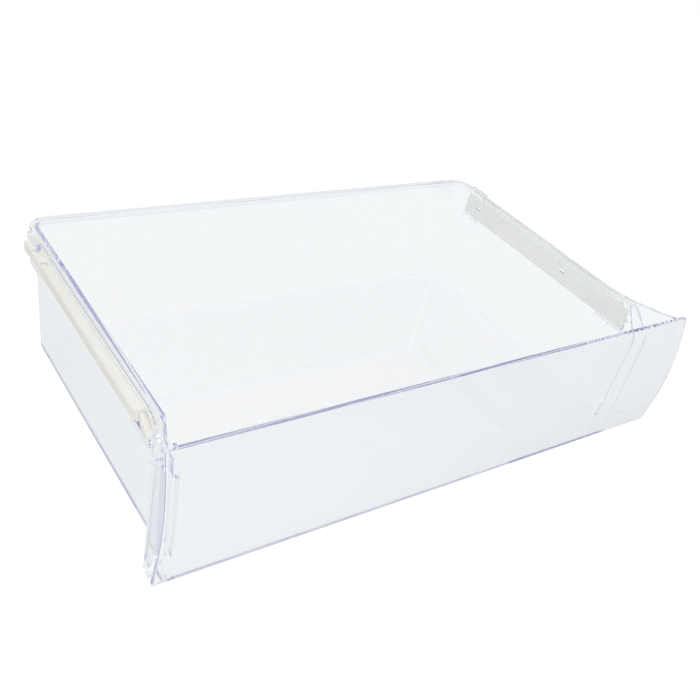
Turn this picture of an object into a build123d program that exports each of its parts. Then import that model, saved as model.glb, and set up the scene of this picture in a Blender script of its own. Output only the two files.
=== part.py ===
from build123d import *
import math
import os

os.makedirs("parts", exist_ok=True)

# Fridge drawer: a clear tub moulded in one with its front panel, and two white runners
# X runs right, Y runs to the back and Z runs up; the panel faces -Y and the drawer stands on Z = 0
# Sizes are in mm; depths are counted from the panel's foremost line

# Overall sizes
PANEL_W = 450.0
DEPTH = 262.0
HEIGHT = 102.0

# Thicknesses of the clear moulding
PANEL_T = 3.2
WALL_T = 2.4
FLOOR_T = 2.6
CHEEK_T = 3.0

# Rim and tub: the rim stands in from the panel's left end, and further in from its right end
RIM_W = 5.8
RIM_LIP_H = 5.0
RIM_LIP_T = 2.0
LEFT_SETBACK = 6.2
RIGHT_SETBACK = 31.2
LEAN = 4.5
CORNER_R = 10.0
FLOOR_R = 3.0
EDGE_R = 0.7

# Panel face: an arc seen from the side, foremost at one height and set back at the top
BOW_Z = 43.0
BOW_TOP = 8.0
FACE_R = 0.9

# How near two places have to be to count as one
SEAM = 0.01

# Flares that widen the rim to the panel's ends, and the band that is left of the left one
RIGHT_FLARE_R = 100.0
LEFT_FLARE_R = 58.0
RIGHT_FLARE_Y = 2.4
LEFT_FLARE_Y = 22.0
FLARE_BAND = 4.6

# Steps where the side walls turn outward behind the panel; the right one slants back above
STEP_D = 22.6
STEP_Z = 79.2
STEP_REACH = 15.4
STEP_R = 22.0
POCKET_R = 6.0
JOG_GAP = 3.0

# Cut-out of the left wall above the step, and the stile that is left of the wall at the panel
CUT_LOW_D = 28.5
CUT_TOP_D = 37.0
STILE_D = 2.4

# Cheek behind the panel's left end: depths at three heights, foot and notch
CHEEK_LOW_D = 18.2
CHEEK_MID_D = 20.4
CHEEK_TOP_D = 26.5
CHEEK_MID_Z = 45.0
FOOT_D = 10.2
FOOT_H = 6.5
FOOT_R = 3.0
NOTCH_W = 4.8
NOTCH_H = 23.0

# Runners: web, top, outer lip, ribs, grooves, catch and windows
RAIL_W = 9.6
RAIL_H = 18.0
RAIL_WEB = 2.2
RAIL_TOP_T = 2.4
RAIL_LIP_H = 7.0
RAIL_LIP_T = 2.0
RAIL_BEVEL = 0.7
RAIL_NOSE_D = 38.0
RAIL_NOSE_L = 12.0
RAIL_REAR_GAP = 21.0
RAIL_GAP = 0.3
RAIL_RIBS = 6
RAIL_RIB_T = 1.6
NOSE_W = 5.0
GROOVE_DEEP = 0.8
GROOVE_L = 4.5
GROOVE_GAPS = (16.0, 33.0)
CATCH_GAP = 11.0
CATCH_L = 4.0
CATCH_H = 3.0
WINDOW_L = 5.0
WINDOW_H = 3.0
WINDOW_DROP = 7.0
WINDOW_GAPS = (16.0, 130.0)
PEG_GAP = 0.2

# Brackets and lugs of the clear moulding that hold the runners
FRONT_BRACKET_L = 30.0
REAR_BRACKET_L = 19.0
BRACKET_PAST = 3.0
LEDGE_T = 2.4
LEDGE_W = 4.6
HOOK_H = 4.5
HOOK_T = 2.4
GUSSET_T = 1.6
GUSSET_H = 6.5
LUG_W = 3.0
LUG_L = 19.0

# Derived places
Y0 = -DEPTH / 2
X_END = PANEL_W / 2
RIM_L = -X_END + LEFT_SETBACK
RIM_R = X_END - RIGHT_SETBACK
IN_L = RIM_L + RIM_W
IN_R = RIM_R - RIM_W
IN_B = DEPTH - RIM_W
OUT_L = IN_L - WALL_T
OUT_R = IN_R + WALL_T
OUT_B = IN_B + WALL_T
BOW_R = ((HEIGHT - BOW_Z) ** 2 + BOW_TOP**2) / (2 * BOW_TOP)
RAIL_TOP = HEIGHT - RIM_LIP_H - RAIL_GAP
RAIL_LOW = RAIL_TOP - RAIL_H
RAIL_REAR = DEPTH - RAIL_REAR_GAP
RAIL_FRONT = RAIL_NOSE_D + RAIL_NOSE_L
STEP_BACK = STEP_D + WALL_T
JOG_OUT = -X_END + CHEEK_T + JOG_GAP
JOG_IN = JOG_OUT + WALL_T
RIB_TOP = STEP_Z + WALL_T
LEFT_JOIN = IN_L + LEAN + FLOOR_R + WALL_T
RIGHT_JOIN = IN_R - LEAN - FLOOR_R - WALL_T
WINDOW_Z = RAIL_TOP - WINDOW_DROP
RIGHT_FLARE_START = RIGHT_FLARE_Y + math.sqrt(RIGHT_FLARE_R**2 - (RIGHT_FLARE_R - RIGHT_SETBACK) ** 2)
LEFT_FLARE_START = LEFT_FLARE_Y + math.sqrt(LEFT_FLARE_R**2 - (LEFT_FLARE_R - LEFT_SETBACK) ** 2)


def lean_at(z):
    """How far a leaning wall stands inside its place at the rim."""
    return LEAN * (1 - z / HEIGHT)


def block(x0, x1, d0, d1, z0, z1):
    """A box from its limits, with the X limits in either order."""
    return Pos((x0 + x1) / 2, Y0 + (d0 + d1) / 2, (z0 + z1) / 2) * Box(abs(x1 - x0), d1 - d0, z1 - z0)


def leaning_tub(left, right, back, front, z0, z1, radius):
    """A solid tub shape between two heights, with leaning sides and rounded back corners."""
    faces = []
    for z in (z0, z1):
        d = lean_at(z)
        x0, x1 = left + d, right - d
        yf, yb = Y0 + front, Y0 + back - d
        c = radius * (1 - math.sqrt(0.5))
        outline = [
            Line((x0, yf, z), (x1, yf, z)),
            Line((x1, yf, z), (x1, yb - radius, z)),
            ThreePointArc((x1, yb - radius, z), (x1 - c, yb - c, z), (x1 - radius, yb, z)),
            Line((x1 - radius, yb, z), (x0 + radius, yb, z)),
            ThreePointArc((x0 + radius, yb, z), (x0 + c, yb - c, z), (x0, yb - radius, z)),
            Line((x0, yb - radius, z), (x0, yf, z)),
        ]
        faces.append(make_face(outline))
    return loft(faces, ruled=True)


def bow(z):
    """Depth of the panel's bowed face at a height."""
    return BOW_R - math.sqrt(BOW_R**2 - (z - BOW_Z) ** 2)


def behind_face(shift):
    """Everything behind the panel's bowed face, moved back by a distance."""
    low, high = -PANEL_T, HEIGHT + PANEL_T
    far = Y0 + DEPTH + RIM_W
    ends = [(0, Y0 + shift + bow(z), z) for z in (low, BOW_Z, high)]
    outline = [
        ThreePointArc(*ends),
        Line(ends[2], (0, far, high)),
        Line((0, far, high), (0, far, low)),
        Line((0, far, low), ends[0]),
    ]
    return extrude(make_face(outline), amount=X_END, dir=(1, 0, 0), both=True)


def side_prism(outline, x0, x1):
    """A prism along X from edges drawn in (depth, height)."""
    low, high = sorted((x0, x1))
    turned = Plane(origin=(low, Y0, 0), x_dir=(0, 1, 0), z_dir=(1, 0, 0))
    return extrude(turned * make_face(outline), amount=high - low)


def side_polygon(points, x0, x1):
    """A prism along X from (depth, height) corners."""
    return side_prism(Polyline(points, close=True).edges(), x0, x1)


def step_outline(depth, low, high):
    """Corners (depth, height) of the widened tub behind the panel, whose step is at a depth."""
    slant = STEP_REACH * (high - STEP_Z) / (HEIGHT - STEP_Z)
    return [(0, low), (depth, low), (depth, STEP_Z), (depth + slant, high), (0, high)]


def step_prism(depth, low, high, radius, x0, x1):
    """The widened tub as a prism along X, with its step rounded where it starts to slant."""
    prism = side_polygon(step_outline(depth, low, high), x0, x1)
    return fillet(prism.edges().filter_by_position(Axis.Z, STEP_Z - SEAM, STEP_Z + SEAM), radius)


def flare_x(start_x, radius, start, depth, side, inset):
    """X of a flare's edge at a depth, drawn in by a distance."""
    r = radius + inset
    return start_x + side * (radius - math.sqrt(r**2 - (start - depth) ** 2))


def rim_face(inset):
    """The rim's outline in plan with both flares, drawn in by a distance."""
    x0, x1, yb = RIM_L + inset, RIM_R - inset, Y0 + DEPTH - inset
    r = CORNER_R + RIM_W - inset
    c = r * (1 - math.sqrt(0.5))
    front = RIGHT_FLARE_Y
    right_mid = (front + RIGHT_FLARE_START) / 2
    left_mid = (LEFT_FLARE_Y + LEFT_FLARE_START) / 2
    right_places = (right_mid, front)
    right = [flare_x(RIM_R, RIGHT_FLARE_R, RIGHT_FLARE_START, d, 1, inset) for d in right_places]
    left_places = (left_mid, LEFT_FLARE_Y)
    left = [flare_x(RIM_L, LEFT_FLARE_R, LEFT_FLARE_START, d, -1, inset) for d in left_places]
    yr, yl = Y0 + RIGHT_FLARE_START, Y0 + LEFT_FLARE_START
    outline = [
        Line((right[1], Y0 + front), (left[1], Y0 + front)),
        Line((left[1], Y0 + front), (left[1], Y0 + LEFT_FLARE_Y)),
        ThreePointArc((left[1], Y0 + LEFT_FLARE_Y), (left[0], Y0 + left_mid), (x0, yl)),
        Line((x0, yl), (x0, yb - r)),
        ThreePointArc((x0, yb - r), (x0 + c, yb - c), (x0 + r, yb)),
        Line((x0 + r, yb), (x1 - r, yb)),
        ThreePointArc((x1 - r, yb), (x1 - c, yb - c), (x1, yb - r)),
        Line((x1, yb - r), (x1, yr)),
        ThreePointArc((x1, yr), (right[0], Y0 + right_mid), (right[1], Y0 + front)),
    ]
    return make_face(outline)


def rim_solid(inset, z0, z1):
    """The rim's outline as a solid between two heights."""
    return extrude(Pos(0, 0, z0) * rim_face(inset), amount=z1 - z0)


def wall_x(side, z):
    """X of the tub's outer wall face at a height."""
    return OUT_L + lean_at(z) if side < 0 else OUT_R - lean_at(z)


def wall_u(z):
    """Outward distance of the wall's face at a height from its face at the runner's top."""
    return lean_at(RAIL_TOP) - lean_at(z)


def along(side, points, d0, d1):
    """A prism along Y from (distance outward from the wall at the runner's top, height) corners."""
    base = wall_x(side, RAIL_TOP)
    outline = Polyline([(base + side * u, Y0 + d0, z) for u, z in points], close=True)
    return extrude(make_face(outline), amount=d1 - d0, dir=(0, 1, 0))


def runner(side):
    """One runner: web, top, outer lip, nose and ribs, with its windows, grooves and catch."""
    base = wall_x(side, RAIL_TOP)
    lip_low = RAIL_TOP - RAIL_LIP_H
    under = RAIL_TOP - RAIL_TOP_T
    web = [
        (wall_u(RAIL_LOW) + RAIL_GAP, RAIL_LOW),
        (wall_u(RAIL_LOW) + RAIL_WEB, RAIL_LOW),
        (RAIL_WEB, RAIL_TOP),
        (RAIL_GAP, RAIL_TOP),
    ]
    roof = [
        (RAIL_GAP, under),
        (RAIL_W - RAIL_LIP_T, under),
        (RAIL_W - RAIL_LIP_T, lip_low),
        (RAIL_W, lip_low),
        (RAIL_W, RAIL_TOP - RAIL_BEVEL),
        (RAIL_W - RAIL_BEVEL, RAIL_TOP),
        (RAIL_GAP, RAIL_TOP),
    ]
    rib = [(RAIL_WEB / 2, lip_low), (RAIL_W - RAIL_LIP_T / 2, lip_low)]
    rib += [(RAIL_W - RAIL_LIP_T / 2, under + RAIL_TOP_T / 2), (RAIL_WEB / 2, under + RAIL_TOP_T / 2)]
    body = along(side, web, RAIL_NOSE_D, RAIL_REAR) + along(side, roof, RAIL_FRONT, RAIL_REAR)
    step = (RAIL_REAR - RAIL_FRONT - RAIL_RIB_T) / (RAIL_RIBS - 1)
    for n in range(RAIL_RIBS):
        body += along(side, rib, RAIL_FRONT + n * step, RAIL_FRONT + n * step + RAIL_RIB_T)
    tip = RAIL_LOW + HOOK_H + RAIL_GAP
    nose = [
        (RAIL_FRONT + RAIL_RIB_T / 2, under),
        (RAIL_FRONT + RAIL_RIB_T / 2, lip_low),
        (RAIL_NOSE_D + RAIL_NOSE_L / 2, tip),
        (RAIL_NOSE_D, tip),
        (RAIL_NOSE_D, tip + RAIL_TOP_T),
    ]
    body += side_polygon(nose, base + side * RAIL_WEB / 2, base + side * (RAIL_WEB / 2 + NOSE_W))
    for gap in WINDOW_GAPS:
        mid = RAIL_REAR - gap
        z0, z1 = WINDOW_Z - WINDOW_H / 2, WINDOW_Z + WINDOW_H / 2
        through = base + side * (RAIL_WEB + RAIL_GAP)
        body -= block(base - side * RAIL_WEB, through, mid - WINDOW_L / 2, mid + WINDOW_L / 2, z0, z1)
    for gap in GROOVE_GAPS:
        mid = RAIL_REAR - gap
        x0, x1 = base + side * RAIL_W / 2, base + side * (RAIL_W + RAIL_GAP)
        z0, z1 = RAIL_TOP - GROOVE_DEEP, RAIL_TOP + RAIL_GAP
        body -= block(x0, x1, mid - GROOVE_L / 2, mid + GROOVE_L / 2, z0, z1)
    mid = RAIL_REAR - CATCH_GAP
    x0, x1 = base + side * (RAIL_W - RAIL_LIP_T - RAIL_GAP), base + side * (RAIL_W + RAIL_GAP)
    body -= block(x0, x1, mid - CATCH_L / 2, mid + CATCH_L / 2, lip_low - RAIL_GAP, lip_low + CATCH_H)
    return body


def bracket(side, d0, d1):
    """A ledge with a hook under the runner, and gussets below it."""
    ledge_low = RAIL_LOW - LEDGE_T
    gusset_low = ledge_low - GUSSET_H
    ledge = [
        (wall_u(ledge_low) - WALL_T / 2, ledge_low),
        (LEDGE_W, ledge_low),
        (LEDGE_W, RAIL_LOW),
        (wall_u(RAIL_LOW) - WALL_T / 2, RAIL_LOW),
    ]
    hook = [
        (LEDGE_W - HOOK_T, RAIL_LOW - LEDGE_T / 2),
        (LEDGE_W, RAIL_LOW - LEDGE_T / 2),
        (LEDGE_W, RAIL_LOW + HOOK_H / 2),
        (LEDGE_W - HOOK_T / 2, RAIL_LOW + HOOK_H),
        (LEDGE_W - HOOK_T, RAIL_LOW + HOOK_H),
    ]
    gusset = [
        (wall_u(gusset_low) - WALL_T / 2, gusset_low),
        (wall_u(gusset_low), gusset_low),
        (LEDGE_W, ledge_low),
        (LEDGE_W, RAIL_LOW - LEDGE_T / 2),
        (wall_u(RAIL_LOW) - WALL_T / 2, RAIL_LOW - LEDGE_T / 2),
    ]
    piece = along(side, ledge, d0, d1) + along(side, hook, d0, d1)
    for d in (d0, (d0 + d1 - GUSSET_T) / 2, d1 - GUSSET_T):
        piece += along(side, gusset, d, d + GUSSET_T)
    return piece


def pegs(side):
    """Pegs on the wall that sit in the runner's windows."""
    base = wall_x(side, RAIL_TOP)
    half_l = WINDOW_L / 2 - PEG_GAP
    half_h = WINDOW_H / 2 - PEG_GAP
    root, tip = base - side * WALL_T * 0.75, base + side * (RAIL_WEB + PEG_GAP)
    z0, z1 = WINDOW_Z - half_h, WINDOW_Z + half_h
    mids = [RAIL_REAR - gap for gap in WINDOW_GAPS]
    return [block(root, tip, mid - half_l, mid + half_l, z0, z1) for mid in mids]


def lug(side):
    """A lug on the rim over the runner's back end."""
    edge = RIM_L if side < 0 else RIM_R
    start = RAIL_REAR + BRACKET_PAST - LUG_L
    z0 = HEIGHT - RIM_LIP_H
    return block(edge - side * RIM_LIP_T / 2, edge + side * LUG_W, start, start + LUG_L, z0, HEIGHT)


behind_panel_face = behind_face(0)
behind_panel = behind_face(PANEL_T)

# Front panel, softened all round its face
panel = (behind_panel_face - behind_panel) & block(-X_END, X_END, -PANEL_T, STEP_D, 0, HEIGHT)
panel = fillet(panel.faces().sort_by(Axis.Y)[0].edges(), FACE_R)

# Tub walls and floor as a solid, rounded underneath
tub = leaning_tub(OUT_L, OUT_R, OUT_B, 0, 0, HEIGHT, CORNER_R + WALL_T)
under_edges = tub.edges().filter_by_position(Axis.Z, -SEAM, SEAM)
under_edges = under_edges.filter_by_position(Axis.Y, Y0 + STEP_D, Y0 + DEPTH)
tub = fillet(under_edges, FLOOR_R) & behind_panel_face

# Rim: a plate with a lip round its edge
rim_low = HEIGHT - RIM_LIP_H
edge_solid = rim_solid(0, rim_low, HEIGHT)
edge_solid = fillet(edge_solid.faces().sort_by(Axis.Z)[-1].edges(), EDGE_R)
hollow = rim_solid(RIM_LIP_T, rim_low - WALL_T, HEIGHT - WALL_T)
rim = (edge_solid - hollow) & behind_panel_face

# Cheek with a foot and a notch beside the panel, and a rib between it and the step
cheek_outline = [
    Line((0, 0), (CHEEK_LOW_D - FOOT_R, 0)),
    ThreePointArc(
        (CHEEK_LOW_D - FOOT_R, 0),
        (CHEEK_LOW_D - FOOT_R * (1 - math.sqrt(0.5)), FOOT_R * (1 - math.sqrt(0.5))),
        (CHEEK_LOW_D, FOOT_R),
    ),
    Line((CHEEK_LOW_D, FOOT_R), (CHEEK_LOW_D, FOOT_H)),
    ThreePointArc((CHEEK_LOW_D, FOOT_H), (CHEEK_MID_D, CHEEK_MID_Z), (CHEEK_TOP_D, HEIGHT)),
    Line((CHEEK_TOP_D, HEIGHT), (0, HEIGHT)),
    Line((0, HEIGHT), (0, 0)),
]
notch_mid = FOOT_D - NOTCH_W / 2
notch_top = NOTCH_H - NOTCH_W / 2
notch = block(-X_END, JOG_OUT, 0, FOOT_D, -FLOOR_T, notch_top)
notch += Pos(-X_END, Y0 + notch_mid, notch_top) * Rot(0, 90, 0) * Cylinder(NOTCH_W / 2, CHEEK_T * 3)
cheek = side_prism(cheek_outline, -X_END, -X_END + CHEEK_T) & behind_panel_face
cheek -= notch & behind_panel
rib = block(-X_END, JOG_IN, STEP_D, STEP_BACK, STEP_Z, RIB_TOP)

# Outside of the widened tub between the steps and the panel
left_corner = block(JOG_OUT, LEFT_JOIN, 0, STEP_BACK, 0, RIB_TOP)
right_corner = step_prism(STEP_BACK, 0, HEIGHT, STEP_R, RIGHT_JOIN, X_END)
right_corner &= rim_solid(0, 0, HEIGHT)
corners = (left_corner + right_corner) & behind_panel_face

# Inside of the tub, drawn on above the rim
above = HEIGHT + FLOOR_T
inside = leaning_tub(IN_L, IN_R, IN_B, 0, FLOOR_T, above, CORNER_R)
floor_edges = inside.edges().filter_by_position(Axis.Z, FLOOR_T - SEAM, FLOOR_T + SEAM)
floor_edges = floor_edges.filter_by_position(Axis.Y, Y0 + STEP_D, Y0 + DEPTH)
inside = fillet(floor_edges, FLOOR_R)
left_inside = block(JOG_IN, LEFT_JOIN, 0, STEP_D, FLOOR_T, above)
right_inside = step_prism(STEP_D, FLOOR_T, above, STEP_R + WALL_T, RIGHT_JOIN, X_END)
right_inside &= rim_solid(CHEEK_T, FLOOR_T, above)
pocket_edges = right_inside.faces().filter_by(GeomType.CYLINDER).sort_by(Axis.X)[-1].edges()
pocket_edges = pocket_edges.filter_by_position(Axis.Y, Y0 + STEP_D - SEAM, Y0 + DEPTH)
right_inside = fillet(pocket_edges, POCKET_R)
inside = (inside + left_inside + right_inside) & behind_panel

# Cut-out above the left step, and the stile at the panel
cut_outline = [(0, RIB_TOP), (CUT_LOW_D, RIB_TOP), (CUT_TOP_D, above), (0, above)]
left_cut = rim_solid(FLARE_BAND, RIB_TOP, above)
left_cut += block(OUT_L - WALL_T / 3, LEFT_JOIN, 0, CUT_TOP_D, RIB_TOP, above)
left_cut &= side_polygon(cut_outline, -X_END, LEFT_JOIN) & behind_panel
stile = block(JOG_OUT, JOG_IN, 0, STEP_D, STEP_Z, HEIGHT) & behind_panel_face
stile -= behind_face(PANEL_T + STILE_D)

# The clear moulding joined as one, then hollowed
drawer_box = tub + rim + panel + cheek + rib + corners
for side in (-1, 1):
    drawer_box += bracket(side, RAIL_NOSE_D, RAIL_NOSE_D + FRONT_BRACKET_L)
    drawer_box += bracket(side, RAIL_REAR + BRACKET_PAST - REAR_BRACKET_L, RAIL_REAR + BRACKET_PAST)
    drawer_box += lug(side)
    for peg in pegs(side):
        drawer_box += peg
drawer_box -= inside + left_cut
drawer_box += stile

left_runner = runner(-1)
right_runner = runner(1)

export_step(drawer_box, "parts/drawer_box.step")
export_step(left_runner, "parts/left_runner.step")
export_step(right_runner, "parts/right_runner.step")
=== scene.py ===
import bpy
from mathutils import Matrix, Vector


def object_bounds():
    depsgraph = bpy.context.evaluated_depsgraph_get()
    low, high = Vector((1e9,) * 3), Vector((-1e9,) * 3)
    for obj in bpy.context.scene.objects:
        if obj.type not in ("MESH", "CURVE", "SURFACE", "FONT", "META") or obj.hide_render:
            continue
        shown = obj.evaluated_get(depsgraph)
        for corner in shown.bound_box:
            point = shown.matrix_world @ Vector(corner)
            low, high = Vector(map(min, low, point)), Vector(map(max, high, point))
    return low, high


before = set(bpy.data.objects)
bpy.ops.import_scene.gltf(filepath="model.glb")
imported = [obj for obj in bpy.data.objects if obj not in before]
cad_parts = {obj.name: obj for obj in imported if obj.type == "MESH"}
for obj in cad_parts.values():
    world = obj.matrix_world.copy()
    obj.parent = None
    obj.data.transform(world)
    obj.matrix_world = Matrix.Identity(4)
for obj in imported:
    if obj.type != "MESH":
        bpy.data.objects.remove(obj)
cad_low, cad_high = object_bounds()

# Camera of the photograph, in metres and in the frame of the part
CAMERA_PLACE = Vector((-0.3938, -0.4281, 0.4220))
CAMERA_RIGHT = Vector((0.81287, -0.54349, 0.20942))
CAMERA_UP = Vector((0.17447, 0.57026, 0.80272))
CAMERA_NEAR_M = 0.01
CAMERA_LENS_MM = 45.57
SENSOR_MM = 36.0

# Floor and the light all round
FLOOR_HALF_M = 4.0
FLOOR_DROP_M = 0.0004
FLOOR_BOUNCE = 0.80
WHITE = (1.0, 1.0, 1.0, 1.0)
WORLD_LIGHT = 0.92

# Key lamp, in metres and watts
KEY_PLACE = (-0.6, -0.7, 1.3)
KEY_TARGET = (0.0, 0.0, 0.05)
KEY_SIZE = 1.0
KEY_POWER = 4.0

# Glow of the floor as it is seen directly, through clear pieces and mirrored in them
# Each is a level on the left and one on the right, and the sides are the places along X where they hold
GLOW_DIRECT = (0.86, 0.86)
GLOW_THROUGH = (0.87, 0.87)
GLOW_MIRRORED = (0.62, 0.34)
GLOW_SIDES_M = (-0.15, 0.35)

# The lesser part of the floor's look, which takes light and shadow
SHADE_DIRECT = 0.16
SHADE_PASSED = 0.07

# The room as it mirrors in clear pieces and as it shows through them
# Each stop is a height, from 0 straight down to 1 straight up, and the level there
ROOM_MIRRORED = ((0.0, 0.50), (0.50, 0.30), (0.70, 0.60), (0.85, 0.95))
ROOM_THROUGH = ((0.0, 1.0), (0.60, 1.0), (0.74, 0.80), (1.0, 0.88))

# Clear plastic: how its faces bend and tint light, and the colour and density of its inside
CLEAR_IOR = 1.57
CLEAR_COLOR = (0.968, 0.986, 1.0)
CLEAR_TINT = (0.20, 0.19, 0.60)
CLEAR_DENSITY = 1.15

# Haze, scuffs and waves of the clear plastic
# A noise is its fineness, its detail and, where it is stretched, its scale along X, Y and Z
# A range is the part of the noise that is spread over the roughness
HAZE_NOISE = (9.0, 4.0)
HAZE_RANGE = (0.35, 0.75)
HAZE_ROUGH = (0.004, 0.022)
SCUFF_NOISE = (60.0, 3.0, (1.0, 14.0, 4.0))
SCUFF_RANGE = (0.68, 0.80)
SCUFF_ROUGH = (0.0, 0.10)
WAVE_NOISE = (26.0, 1.0)
WAVE_STRENGTH = 0.5
WAVE_DEPTH_M = 0.000015

# Runner plastic: its light and dull tones, its sheen and the grain of its surface
RUNNER_IOR = 1.49
RUNNER_LIGHT = (0.835, 0.82, 0.77)
RUNNER_DULL = (0.775, 0.755, 0.70)
TONE_NOISE = (34.0, 5.0, (1.0, 0.5, 1.0))
TONE_RANGE = (0.30, 0.62)
SHEEN_NOISE = (120.0, 4.0)
SHEEN_RANGE = (0.30, 0.70)
SHEEN_ROUGH = (0.36, 0.52)
GRAIN_NOISE = (900.0, 2.0)
GRAIN_STRENGTH = 0.35
GRAIN_DEPTH_M = 0.00003

# Air that is left where a runner touches the clear plastic
TOUCH_GAP_M = 0.00005

# Light runs a long way inside the clear walls before it leaves by an edge
BOUNCES = 600


def make_node(tree, kind, values=None, **settings):
    """A node with its settings and its plain socket values."""
    made = tree.nodes.new(kind)
    for name, value in settings.items():
        setattr(made, name, value)
    for name, value in (values or {}).items():
        made.inputs[name].default_value = value
    return made


def new_material(name):
    """A material with an output node and nothing else."""
    material = bpy.data.materials.new(name)
    material.use_nodes = True
    material.node_tree.nodes.clear()
    output = make_node(material.node_tree, "ShaderNodeOutputMaterial")
    return material, material.node_tree, output


def grey(level):
    """A grey of one level."""
    return (level, level, level, 1.0)


def noise(tree, scale, detail, stretch=(1.0, 1.0, 1.0)):
    """Noise in the object's own metres, stretched along its axes."""
    place = make_node(tree, "ShaderNodeTexCoord")
    squeeze = make_node(tree, "ShaderNodeMapping", {"Scale": stretch})
    made = make_node(tree, "ShaderNodeTexNoise", {"Scale": scale, "Detail": detail})
    tree.links.new(place.outputs["Object"], squeeze.inputs["Vector"])
    tree.links.new(squeeze.outputs["Vector"], made.inputs["Vector"])
    return made.outputs["Fac"]


def levels(tree, source, low, high, out_low, out_high):
    """A value spread from one range to another and held within it."""
    made = make_node(
        tree,
        "ShaderNodeMapRange",
        {"From Min": low, "From Max": high, "To Min": out_low, "To Max": out_high},
    )
    tree.links.new(source, made.inputs["Value"])
    return made.outputs["Result"]


def larger(tree, first, second):
    """The larger of two values."""
    made = make_node(tree, "ShaderNodeMath", operation="MAXIMUM")
    tree.links.new(first, made.inputs[0])
    tree.links.new(second, made.inputs[1])
    return made.outputs[0]


def bump(tree, height, strength, distance):
    """A bump from a height."""
    made = make_node(tree, "ShaderNodeBump", {"Strength": strength, "Distance": distance})
    tree.links.new(height, made.inputs["Height"])
    return made.outputs["Normal"]


def clear_plastic():
    """Clear moulded plastic with a blue-violet depth, slight waves of the mould and fine scuffs."""
    material, tree, output = new_material("clear_plastic")
    surface = make_node(
        tree,
        "ShaderNodeBsdfPrincipled",
        {
            "Base Color": (*CLEAR_COLOR, 1.0),
            "IOR": CLEAR_IOR,
            "Transmission Weight": 1.0,
        },
    )
    inside = make_node(
        tree,
        "ShaderNodeVolumeAbsorption",
        {"Color": (*CLEAR_TINT, 1.0), "Density": CLEAR_DENSITY},
    )
    haze = levels(tree, noise(tree, *HAZE_NOISE), *HAZE_RANGE, *HAZE_ROUGH)
    scuffs = levels(tree, noise(tree, *SCUFF_NOISE), *SCUFF_RANGE, *SCUFF_ROUGH)
    waves = bump(tree, noise(tree, *WAVE_NOISE), WAVE_STRENGTH, WAVE_DEPTH_M)
    tree.links.new(larger(tree, haze, scuffs), surface.inputs["Roughness"])
    tree.links.new(waves, surface.inputs["Normal"])
    tree.links.new(surface.outputs[0], output.inputs["Surface"])
    tree.links.new(inside.outputs[0], output.inputs["Volume"])
    return material


def runner_plastic():
    """Satin off-white plastic with a slightly uneven tone and a fine grain."""
    material, tree, output = new_material("runner_plastic")
    surface = make_node(tree, "ShaderNodeBsdfPrincipled", {"IOR": RUNNER_IOR})
    tone = make_node(tree, "ShaderNodeValToRGB")
    tones = (RUNNER_DULL, RUNNER_LIGHT)
    for element, position, color in zip(tone.color_ramp.elements, TONE_RANGE, tones):
        element.position = position
        element.color = (*color, 1.0)
    tree.links.new(noise(tree, *TONE_NOISE), tone.inputs["Fac"])
    tree.links.new(tone.outputs["Color"], surface.inputs["Base Color"])
    sheen = levels(tree, noise(tree, *SHEEN_NOISE), *SHEEN_RANGE, *SHEEN_ROUGH)
    tree.links.new(sheen, surface.inputs["Roughness"])
    grain = bump(tree, noise(tree, *GRAIN_NOISE), GRAIN_STRENGTH, GRAIN_DEPTH_M)
    tree.links.new(grain, surface.inputs["Normal"])
    tree.links.new(surface.outputs[0], output.inputs["Surface"])
    return material


def dress(node, material):
    """Gives a node of the frame its material."""
    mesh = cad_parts[node].data
    mesh.materials.clear()
    mesh.materials.append(material)


def draw_in(node):
    """Draws a node in by a hair, so that light passes where it touches clear plastic."""
    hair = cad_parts[node].modifiers.new("hair", "DISPLACE")
    hair.mid_level = 0.0
    hair.strength = -TOUCH_GAP_M


def choose(tree, fac, first, second):
    """One shader or the other, by a value."""
    made = make_node(tree, "ShaderNodeMixShader")
    tree.links.new(fac, made.inputs[0])
    tree.links.new(first, made.inputs[1])
    tree.links.new(second, made.inputs[2])
    return made.outputs[0]


def floor_look(tree, glow, shade):
    """A glow that runs from a left level to a right one, with a lesser part that takes light and shadow."""
    place = make_node(tree, "ShaderNodeNewGeometry")
    split = make_node(tree, "ShaderNodeSeparateXYZ")
    tree.links.new(place.outputs["Position"], split.inputs[0])
    lit = make_node(tree, "ShaderNodeBsdfDiffuse", {"Color": grey(shade)})
    lamp = make_node(tree, "ShaderNodeEmission")
    tree.links.new(levels(tree, split.outputs["X"], *GLOW_SIDES_M, *glow), lamp.inputs["Strength"])
    both = make_node(tree, "ShaderNodeAddShader")
    tree.links.new(lit.outputs[0], both.inputs[0])
    tree.links.new(lamp.outputs[0], both.inputs[1])
    return both.outputs[0]


def add_floor():
    """A pale floor that is white to the eye and keeps a faint shadow."""
    half = FLOOR_HALF_M
    mesh = bpy.data.meshes.new("floor")
    corners = [(-half, -half, 0), (half, -half, 0), (half, half, 0), (-half, half, 0)]
    mesh.from_pydata(corners, [], [(0, 1, 2, 3)])
    floor = bpy.data.objects.new("floor", mesh)
    floor.location.z = cad_low.z - FLOOR_DROP_M
    bpy.context.scene.collection.objects.link(floor)
    material, tree, output = new_material("floor")
    bounce = make_node(tree, "ShaderNodeBsdfDiffuse", {"Color": grey(FLOOR_BOUNCE)})
    mirrored = floor_look(tree, GLOW_MIRRORED, SHADE_PASSED)
    through = floor_look(tree, GLOW_THROUGH, SHADE_PASSED)
    direct = floor_look(tree, GLOW_DIRECT, SHADE_DIRECT)
    path = make_node(tree, "ShaderNodeLightPath")
    look = choose(tree, path.outputs["Is Glossy Ray"], bounce.outputs[0], mirrored)
    look = choose(tree, path.outputs["Is Transmission Ray"], look, through)
    look = choose(tree, path.outputs["Is Camera Ray"], look, direct)
    tree.links.new(look, output.inputs["Surface"])
    mesh.materials.append(material)


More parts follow.
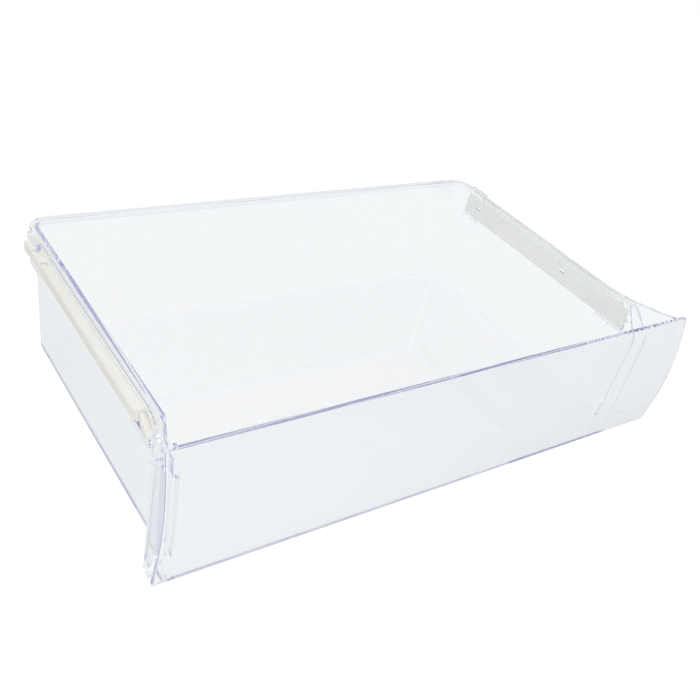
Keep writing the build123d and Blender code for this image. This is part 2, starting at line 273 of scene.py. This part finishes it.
def room_shader(tree, height, stops):
    """A background whose level runs from below the horizon to overhead."""
    ramp = make_node(tree, "ShaderNodeValToRGB")
    elements = ramp.color_ramp.elements
    for position, _ in stops[1:-1]:
        elements.new(position)
    for element, (position, level) in zip(elements, stops):
        element.position = position
        element.color = grey(level)
    room = make_node(tree, "ShaderNodeBackground", {"Strength": 1.0})
    tree.links.new(height, ramp.inputs["Fac"])
    tree.links.new(ramp.outputs["Color"], room.inputs["Color"])
    return room.outputs[0]


def add_world():
    """Soft white light all round, white behind the part, and a dimmer room in and through clear pieces."""
    world = bpy.data.worlds.new("studio")
    bpy.context.scene.world = world
    world.use_nodes = True
    tree = world.node_tree
    tree.nodes.clear()
    output = make_node(tree, "ShaderNodeOutputWorld")
    white = make_node(tree, "ShaderNodeBackground", {"Color": WHITE, "Strength": 1.0})
    light = make_node(tree, "ShaderNodeBackground", {"Color": WHITE, "Strength": WORLD_LIGHT})
    place = make_node(tree, "ShaderNodeTexCoord")
    split = make_node(tree, "ShaderNodeSeparateXYZ")
    tree.links.new(place.outputs["Generated"], split.inputs[0])
    height = levels(tree, split.outputs["Z"], -1.0, 1.0, 0.0, 1.0)
    path = make_node(tree, "ShaderNodeLightPath")
    through = room_shader(tree, height, ROOM_THROUGH)
    mirrored = room_shader(tree, height, ROOM_MIRRORED)
    look = choose(tree, path.outputs["Is Glossy Ray"], light.outputs[0], mirrored)
    look = choose(tree, path.outputs["Is Transmission Ray"], look, through)
    # What a dull surface has scattered meets the plain light, however it goes on from there
    scattered = levels(tree, path.outputs["Diffuse Depth"], 0.0, 1.0, 0.0, 1.0)
    look = choose(tree, scattered, look, light.outputs[0])
    look = choose(tree, path.outputs["Is Camera Ray"], look, white.outputs[0])
    tree.links.new(look, output.inputs["Surface"])


def add_lamp(name, place, target, size, power):
    """A square soft lamp that points at a target."""
    data = bpy.data.lights.new(name, "AREA")
    data.shape = "SQUARE"
    data.size = size
    data.energy = power
    lamp = bpy.data.objects.new(name, data)
    lamp.location = place
    lamp.rotation_euler = (Vector(target) - Vector(place)).to_track_quat("-Z", "Y").to_euler()
    bpy.context.scene.collection.objects.link(lamp)


def add_camera():
    """The camera at the photograph's view."""
    data = bpy.data.cameras.new("camera")
    data.lens = CAMERA_LENS_MM
    data.sensor_width = SENSOR_MM
    data.clip_start = CAMERA_NEAR_M
    camera = bpy.data.objects.new("camera", data)
    back = CAMERA_RIGHT.cross(CAMERA_UP)
    turn = Matrix((CAMERA_RIGHT, CAMERA_UP, back)).transposed()
    camera.matrix_world = Matrix.Translation(CAMERA_PLACE) @ turn.to_4x4()
    bpy.context.scene.collection.objects.link(camera)
    bpy.context.scene.camera = camera


dress("drawer_box", clear_plastic())
runner_material = runner_plastic()
for runner in ("left_runner", "right_runner"):
    dress(runner, runner_material)
    draw_in(runner)

add_floor()
add_world()
add_lamp("key", KEY_PLACE, KEY_TARGET, KEY_SIZE, KEY_POWER)
add_camera()

scene = bpy.context.scene
scene.view_settings.view_transform = "Standard"
scene.cycles.blur_glossy = 0.0
scene.cycles.max_bounces = BOUNCES
scene.cycles.transmission_bounces = BOUNCES
scene.cycles.glossy_bounces = BOUNCES
